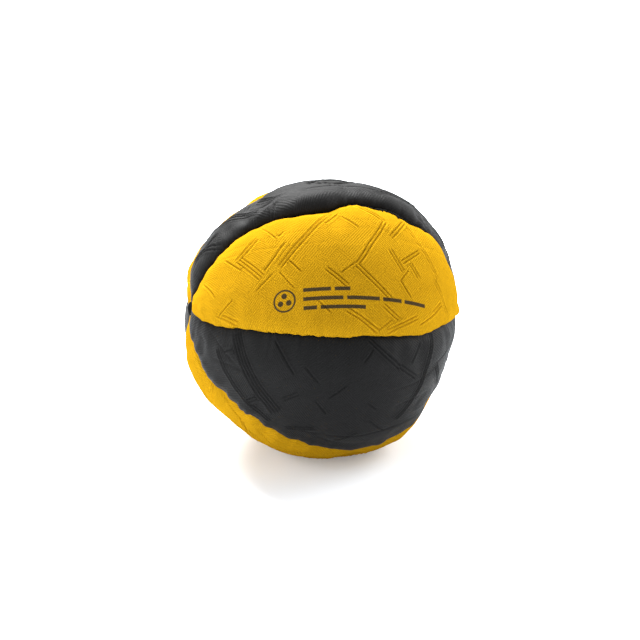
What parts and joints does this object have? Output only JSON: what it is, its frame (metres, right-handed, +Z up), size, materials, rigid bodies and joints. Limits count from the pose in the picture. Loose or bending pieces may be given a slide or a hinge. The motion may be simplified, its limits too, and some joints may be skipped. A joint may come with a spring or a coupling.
{
  "type": "juggling ball",
  "caption": "Stuffed cloth juggling ball: gores in two alternating colours sewn pole to pole round a bag of loose granules, with a soft flattened underside.",
  "frame": {"origin": "on the ground under the middle of the ball, at the centre of the flattened patch it rests on", "axes": "+Z up; the two poles where all the gores meet lie towards -X and +X; -Y is the front"},
  "size_m": [0.065, 0.065, 0.0636],
  "materials": {
    "yellow_cloth": "matte",
    "black_cloth": "matte",
    "machine_thread": "satin",
    "hand_thread": "satin",
    "liner_cloth": "matte",
    "granules": "satin"
  },
  "bodies": {
    "root": {"yellow_rear_panel": "yellow_cloth", "black_top_panel": "black_cloth", "yellow_front_panel": "yellow_cloth", "black_front_panel": "black_cloth", "yellow_bottom_panel": "yellow_cloth", "black_rear_panel": "black_cloth", "needle_thread_1": "machine_thread", "needle_thread_2": "machine_thread", "needle_thread_3": "machine_thread", "needle_thread_4": "machine_thread", "needle_thread_5": "machine_thread", "needle_thread_6": "machine_thread", "bobbin_thread_1": "machine_thread", "bobbin_thread_2": "machine_thread", "bobbin_thread_3": "machine_thread", "bobbin_thread_4": "machine_thread", "bobbin_thread_5": "machine_thread", "bobbin_thread_6": "machine_thread", "closing_thread": "hand_thread", "left_pole_tack": "hand_thread", "right_pole_tack": "hand_thread", "inner_liner": "liner_cloth", "filling_granules": "granules"}
  },
  "joints": []
}
